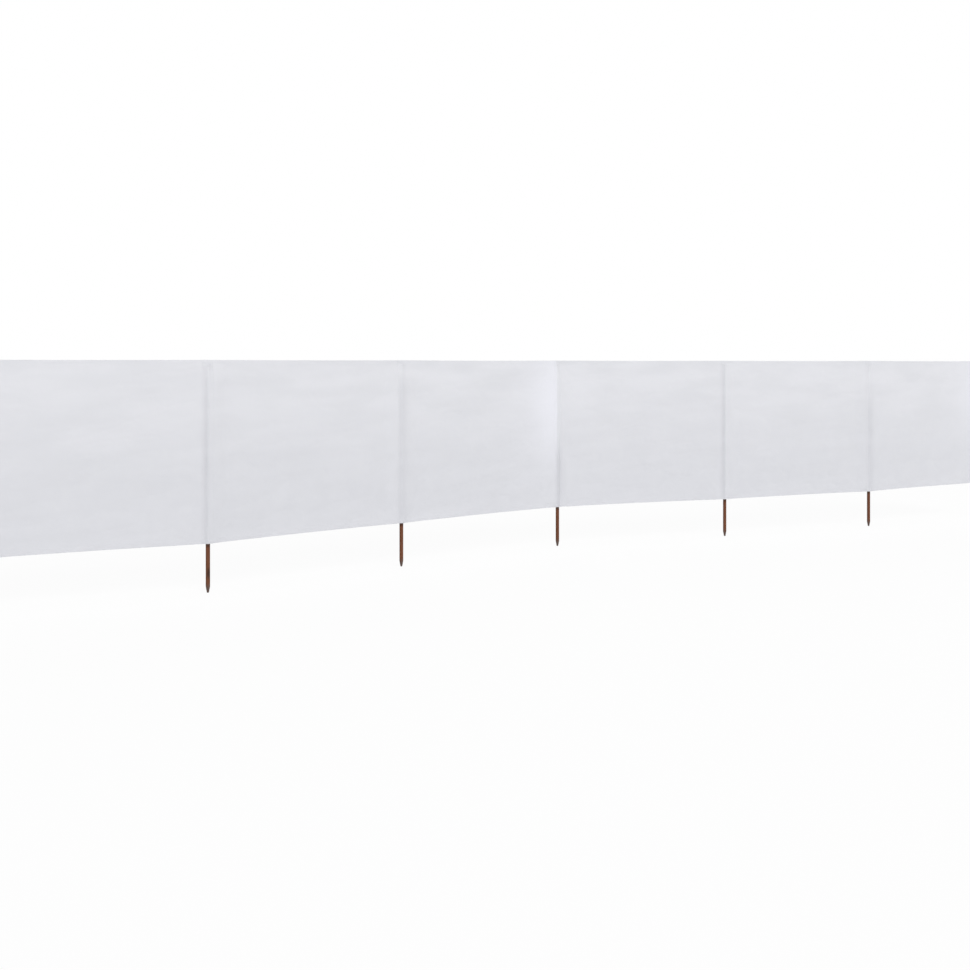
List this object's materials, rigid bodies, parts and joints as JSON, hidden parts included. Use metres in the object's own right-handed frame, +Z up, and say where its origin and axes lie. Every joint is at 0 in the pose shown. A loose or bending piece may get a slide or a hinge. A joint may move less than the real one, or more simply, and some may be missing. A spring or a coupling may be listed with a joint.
{
  "type": "beach windbreak",
  "caption": "Long strip of pale cloth held upright by round wooden stakes in sewn sleeves, set out in a gentle zigzag as a wind screen.",
  "frame": {"origin": "on the flat tip of stake_4, the middle stake, at the bottom of its foot", "axes": "+Z up along the stakes, +X along the windbreak's general run from stake_1 to stake_7"},
  "size_m": [9.5502, 0.5627, 1.52],
  "materials": {
    "cloth": "matt plain weave, pale grey-white",
    "wood": "turned softwood, stained reddish brown, dull"
  },
  "bodies": {
    "root": {"stake_1": "wood", "stake_2": "wood", "stake_3": "wood", "stake_4": "wood", "stake_5": "wood", "stake_6": "wood", "stake_7": "wood", "sleeve_1": "cloth", "sleeve_2": "cloth", "sleeve_3": "cloth", "sleeve_4": "cloth", "sleeve_5": "cloth", "sleeve_6": "cloth", "sleeve_7": "cloth", "cloth_1": "cloth", "top_hem_1": "cloth", "bottom_hem_1": "cloth", "cloth_2": "cloth", "top_hem_2": "cloth", "bottom_hem_2": "cloth", "cloth_3": "cloth", "top_hem_3": "cloth", "bottom_hem_3": "cloth", "cloth_4": "cloth", "top_hem_4": "cloth", "bottom_hem_4": "cloth", "cloth_5": "cloth", "top_hem_5": "cloth", "bottom_hem_5": "cloth", "cloth_6": "cloth", "top_hem_6": "cloth", "bottom_hem_6": "cloth"}
  },
  "joints": []
}
